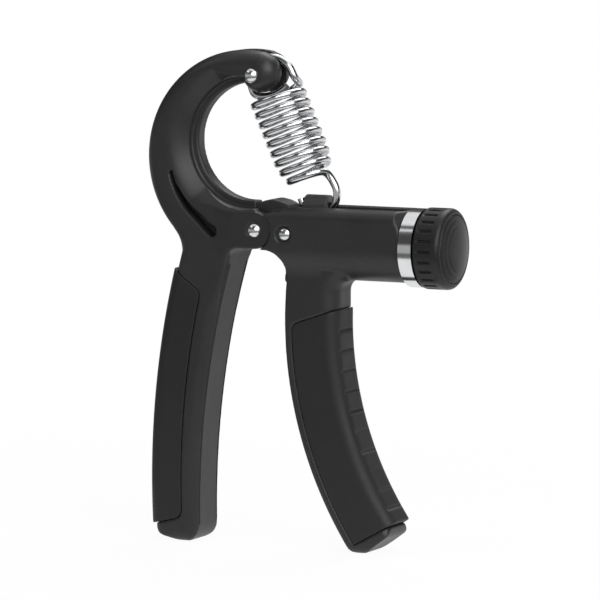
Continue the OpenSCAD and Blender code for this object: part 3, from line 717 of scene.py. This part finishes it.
class SpringLine:
    """The middle line of the spring's wire: places in millimetres from the pivot.

    The loop, the coil and the hook are lines by an angle in degrees. The loop lies over the pin.
    The coil hangs from it along `down`, and its last turns draw in. The hook is round the eye.
    """

    def __init__(self, size):
        self.radius, self.pitch = size.radius / MM, size.pitch / MM
        self.hook_radius, self.turns = size.hook / MM, size.turns
        self.down = Vector((math.sin(size.tilt), 0.0, -math.cos(size.tilt)))
        self.out = Vector((math.cos(size.tilt), 0.0, math.sin(size.tilt)))
        pin = Vector((-1.807, 0.0, 47.3))
        self.loop_centre = pin + Vector((3.44, 0.0, -2.5))
        self.coil_start = 3.13
        self.eye = Vector((HOOK_EYE[0], 0.0, HOOK_EYE[1]))

    def place(self, across, along, y):
        """A place across the coil's axis, along it and to the back, from the loop's centre."""
        return self.loop_centre + across * self.out + along * self.down + Vector((0.0, y, 0.0))

    def loop(self, t):
        narrower, fuller, low = 0.4, 0.35, 3.7
        c, s = math.cos(math.radians(t)), math.sin(math.radians(t))
        across = (self.radius - narrower + fuller * c) * c
        return self.place(across, (-self.radius if s > 0 else -low) * s, 0.0)

    def coil(self, t):
        draws_in, drawn_in = 2.6, 0.32
        taper = max(0.0, t - 360.0 * (self.turns - draws_in)) / 360.0
        r = self.radius - drawn_in * taper ** 2
        return self.place(r * math.cos(math.radians(t)), self.coil_start + self.pitch * t / 360.0,
                          r * math.sin(math.radians(t)))

    def hook(self, t):
        turned = math.radians(t)
        return self.eye + self.hook_radius * Vector((math.cos(turned), 0.0, math.sin(turned)))

    def path(self):
        """All the places, from the loop's cut end to the hook's tip."""
        loop_end, loop_step, loop_places = 305.0, 5.0, 60
        join, leave, coil_step = 45.0, 360.0 * self.turns - 50.0, 6.0
        hook_start, hook_step, hook_places = 30.0, 5.0, 40
        bend_places, upper_pull, leaving_pull, hook_pull = 12, 3.2, 3.4, 5.0
        places = [self.loop(loop_end - loop_step * i) for i in range(loop_places)]
        places += [bend(self.loop(0.0), upper_pull * self.down, self.coil(join),
                        upper_pull * direction(self.coil, join), i / bend_places)
                   for i in range(bend_places)]
        places += [self.coil(join + coil_step * i) for i in range(int((leave - join) / coil_step))]
        places += [bend(self.coil(leave), leaving_pull * direction(self.coil, leave),
                        self.hook(hook_start), hook_pull * direction(self.hook, hook_start, -1.0),
                        i / bend_places) for i in range(bend_places)]
        places += [self.hook(hook_start - hook_step * i) for i in range(hook_places)]
        return places

    def share_along(self, spot):
        """0 at the coil's top and 1 near its lower end."""
        coil_end = self.coil_start + self.pitch * (self.turns - 0.4)
        return fade((spot - self.loop_centre).dot(self.down), self.coil_start, coil_end)


def wire_along(name, places, radius):
    """A closed tube of wire along places, made a mesh."""
    curve = bpy.data.curves.new(name, "CURVE")
    curve.dimensions = "3D"
    curve.twist_mode = "MINIMUM"
    curve.bevel_depth = radius
    curve.bevel_resolution = 8
    curve.use_fill_caps = True
    spline = curve.splines.new("POLY")
    spline.points.add(len(places) - 1)
    for point, spot in zip(spline.points, places):
        point.co = (*(PIVOT + spot * MM), 1.0)
    piece = bpy.data.objects.new(name, curve)
    bpy.context.scene.collection.objects.link(piece)
    only(piece)
    bpy.ops.object.convert(target="MESH")
    piece = bpy.context.object
    bpy.ops.object.mode_set(mode="EDIT")
    bpy.ops.mesh.select_all(action="SELECT")
    bpy.ops.mesh.remove_doubles(threshold=SAME_PLACE)
    bpy.ops.mesh.normals_make_consistent(inside=False)
    bpy.ops.object.mode_set(mode="OBJECT")
    shaded(piece, sharpest=50)
    return piece


def held_in_slider(piece, line):
    """Keeps the lower hook in the slider's eye: an empty on the slider draws the coil out.

    The empty turns with the spring's body. As the handles close, it also leans with the finger
    handle, a little less than half as far.
    """
    eye = bpy.data.objects.new("spring_eye", None)
    bpy.context.scene.collection.objects.link(eye)
    eye.location = PIVOT + line.eye * MM
    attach(eye, SLIDER)
    swinging = eye.constraints.new("COPY_ROTATION")
    swinging.target = frame["bodies"][SPRING]
    leaning = eye.constraints.new("COPY_ROTATION")
    leaning.target = frame["bodies"][FINGER]
    leaning.mix_mode = "AFTER"
    leaning.influence = 0.44
    drawn = piece.vertex_groups.new(name="drawn")
    for vertex in piece.data.vertices:
        drawn.add([vertex.index], line.share_along((vertex.co - PIVOT) / MM), "REPLACE")
    bpy.context.view_layer.update()
    draw = piece.modifiers.new("Drawn by the slider", "HOOK")
    draw.object = eye
    draw.vertex_group = drawn.name
    draw.center = (0.0, 0.0, 0.0)
    draw.matrix_inverse = eye.matrix_world.inverted()


class GRIP_OT_spring(bpy.types.Operator):
    """Wind the extension spring, with its loop over the pin and its hook in the slider"""

    bl_idname = "grip.spring"
    bl_label = "Spring"

    def execute(self, context):
        size = context.scene.grip_spring
        line = SpringLine(size)
        piece = wire_along("spring_wire", line.path(), size.wire / 2)
        settled(piece, "spring_wire", "Spring wire", SPRING, "spring_steel", "spring")
        held_in_slider(piece, line)
        return {"FINISHED"}


# ---- Adjusting screw ----


class GRIP_OT_screw(bpy.types.Operator):
    """Cut the thread of the adjusting screw"""

    bl_idname = "grip.screw"
    bl_label = "Adjusting screw"

    def execute(self, context):
        size = context.scene.grip_screw
        r, depth, pitch = size.radius / MM, size.depth / MM, size.pitch / MM
        low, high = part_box("adjusting_screw")
        nose, tail = (low.x - PIVOT.x) / MM, (high.x - PIVOT.x) / MM
        pin_x, neck_half, neck_r = 10.6, 2.3, 1.4
        start, end, chamfer = 13.5, 46.6, 0.4
        outline = [(nose, 0.0), (nose, r - chamfer), (nose + chamfer, r), (pin_x - neck_half, r),
                   (pin_x - neck_half, neck_r), (pin_x + neck_half, neck_r),
                   (pin_x + neck_half, r), (start - chamfer, r), (start, r - depth)]
        for i in range(2 * int((end - start) / pitch)):
            outline.append((start + (i + 1) * 0.5 * pitch, r if i % 2 == 0 else r - depth))
        outline += [(end + chamfer, r), (tail, r), (tail, 0.0)]
        piece = turned_in_tube(outline, steps=64)
        settled(piece, "adjusting_screw_thread", "Screw steel", KNOB, "screw_steel",
                "adjusting_screw")
        return {"FINISHED"}


# ---- Studio ----

# Name, place, width and height in metres, and power in watts.
LAMPS = (
    ("key", (0.75, -0.5, 0.66), 0.6, 0.9, 6.5),
    ("side", (0.5, -0.96, 0.58), 0.6, 0.6, 3.4),
    ("fill", (-0.9, -0.5, 1.1), 0.9, 0.5, 1.5),
    ("top", (0.0, 0.9, 1.2), 0.9, 0.9, 8.0))
LAMP_AIM = Vector((0.0, 0.0, 0.08))
WHITE = (1.0, 1.0, 1.0)


def pale_floor():
    """The floor: nearly white to the camera, with the grip's shadow on its matt share.

    In the gloss of the pieces it is bright close by, dark further off, and brighter again at the
    back and far away, as the floor of a small studio is.
    """
    only()
    bpy.ops.mesh.primitive_plane_add(size=12.0, location=(0.0, 0.0, 0.0))
    floor = bpy.context.object
    floor.name = "floor"
    material = bpy.data.materials.new("Pale floor")
    material.use_nodes = True
    nodes = Nodes(material.node_tree)
    path = nodes.light_path()
    glossy_ray = path["Is Glossy Ray"]
    seen = (path["Is Camera Ray"] + glossy_ray + path["Is Transmission Ray"]).clamp()
    where = nodes.make("ShaderNodeTexCoord")["Object"]
    reach = nodes.make("ShaderNodeVectorMath", {0: where}, operation="LENGTH")["Value"]
    far_off, beyond = reach.step(0.1, 0.45), reach.step(0.17, 0.21)
    sheen = (0.92 - 0.8 * beyond + 0.3 * reach.step(0.42, 0.5)
             + 0.5 * beyond * nodes.parted(where)["Y"].step(0.02, 0.3))
    matt = nodes.make("ShaderNodeBsdfDiffuse", {"Color": (0.9, 0.9, 0.9)})
    glow = nodes.make("ShaderNodeEmission", {
        "Color": WHITE, "Strength": glossy_ray * sheen + (1.0 - glossy_ray)})
    mixed = nodes.make("ShaderNodeMixShader", {
        0: seen * (0.95 + 0.05 * far_off), 1: matt["BSDF"], 2: glow["Emission"]})
    nodes.make("ShaderNodeOutputMaterial", {"Surface": mixed["Shader"]})
    floor.data.materials.append(material)


def soft_world(scene):
    """The room: white to the camera, and otherwise dim with three soft bright areas.

    They lie overhead, near the horizon in front, and behind on the knob's side.
    """
    scene.world = bpy.data.worlds.new("Studio")
    scene.world.use_nodes = True
    nodes = Nodes(scene.world.node_tree)
    parts = nodes.parted(nodes.make("ShaderNodeTexCoord")["Generated"])
    steepness = abs(parts["Z"])
    overhead = (parts["Z"] + 0.2 * parts["Y"]).step(0.78, 0.84)
    horizon = (1.0 - steepness.step(0.14, 0.24)) * (1.0 - parts["Y"].step(-0.3, 0.1))
    behind = (parts["Y"].step(0.2, 0.6) * parts["X"].step(-0.2, 0.1)
              * (1.0 - steepness.step(0.15, 0.35)))
    around = nodes.make("ShaderNodeBackground", {
        "Color": WHITE, "Strength": 0.06 + 0.8 * overhead + 0.37 * horizon + 0.66 * behind})
    plain = nodes.make("ShaderNodeBackground", {"Color": WHITE, "Strength": 1.0})
    mixed = nodes.make("ShaderNodeMixShader", {
        0: nodes.light_path()["Is Camera Ray"], 1: around["Background"],
        2: plain["Background"]})
    nodes.make("ShaderNodeOutputWorld", {"Surface": mixed["Shader"]})


def placed(name, data, location, ahead):
    """A lamp or a camera that looks ahead, with its top up."""
    holder = bpy.data.objects.new(name, data)
    bpy.context.scene.collection.objects.link(holder)
    holder.location = location
    holder.rotation_euler = ahead.to_track_quat("-Z", "Y").to_euler()
    return holder


def lamps():
    """Adds the soft lamps, all turned towards the grip."""
    for name, location, width, height, power in LAMPS:
        lamp = bpy.data.lights.new(name, "AREA")
        lamp.shape = "RECTANGLE"
        lamp.size = width
        lamp.size_y = height
        lamp.energy = power
        placed(name, lamp, location, LAMP_AIM - Vector(location))


def camera(view):
    """The camera, moved aside so that the pivot lies where the settings say in the view."""
    data = bpy.data.cameras.new("camera")
    data.lens = view.lens
    data.sensor_width = 36.0
    data.clip_start, data.clip_end = 0.05, 20.0
    a, e = view.azimuth, view.elevation
    right = Vector((math.cos(a), math.sin(a), 0.0))
    ahead = Vector((-math.sin(a) * math.cos(e), math.cos(a) * math.cos(e), -math.sin(e)))
    up = right.cross(ahead)
    zoom = data.lens / data.sensor_width
    location = PIVOT - view.distance * (
        ahead + right * view.centre_x / zoom + up * view.centre_y / zoom)
    return placed("camera", data, location, ahead)


class GRIP_OT_stage(bpy.types.Operator):
    """Set the grip on a pale floor in soft studio light, with the camera in front of it"""

    bl_idname = "grip.stage"
    bl_label = "Studio"

    def execute(self, context):
        pale_floor()
        soft_world(context.scene)
        lamps()
        context.scene.camera = camera(context.scene.grip_stage)
        context.scene.view_settings.view_transform = "Standard"
        return {"FINISHED"}


# ---- Panel and registration ----


class GRIP_PT_panel(bpy.types.Panel):
    """Lists the steps that dress the hand grip"""

    bl_idname = "GRIP_PT_panel"
    bl_label = "Hand Grip"
    bl_space_type = "VIEW_3D"
    bl_region_type = "UI"
    bl_category = "Hand Grip"

    def draw(self, context):
        layout = self.layout
        for operator in STEPS:
            layout.operator(operator.bl_idname)
        for name, group in GROUPS.items():
            box = layout.box()
            for item in group.__annotations__:
                box.prop(getattr(context.scene, name), item)


STEPS = (GRIP_OT_finishes, GRIP_OT_mouldings, GRIP_OT_slider, GRIP_OT_spring, GRIP_OT_screw,
         GRIP_OT_stage)
GROUPS = {
    "grip_mould": GripMouldSettings,
    "grip_spring": GripSpringSettings,
    "grip_screw": GripScrewSettings,
    "grip_finish": GripFinishSettings,
    "grip_stage": GripStageSettings,
}
CLASSES = (*GROUPS.values(), *STEPS, GRIP_PT_panel)


def register():
    """Makes the operators, the panel and the scene's settings known."""
    for kind in CLASSES:
        bpy.utils.register_class(kind)
    for name, group in GROUPS.items():
        setattr(bpy.types.Scene, name, PointerProperty(type=group))


def unregister():
    """Takes them away again."""
    for name in GROUPS:
        delattr(bpy.types.Scene, name)
    for kind in reversed(CLASSES):
        bpy.utils.unregister_class(kind)


def main():
    """Registers the add-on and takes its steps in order."""
    register()
    for operator in STEPS:
        group, name = operator.bl_idname.split(".")
        getattr(getattr(bpy.ops, group), name)()


if __name__ == "__main__":
    main()
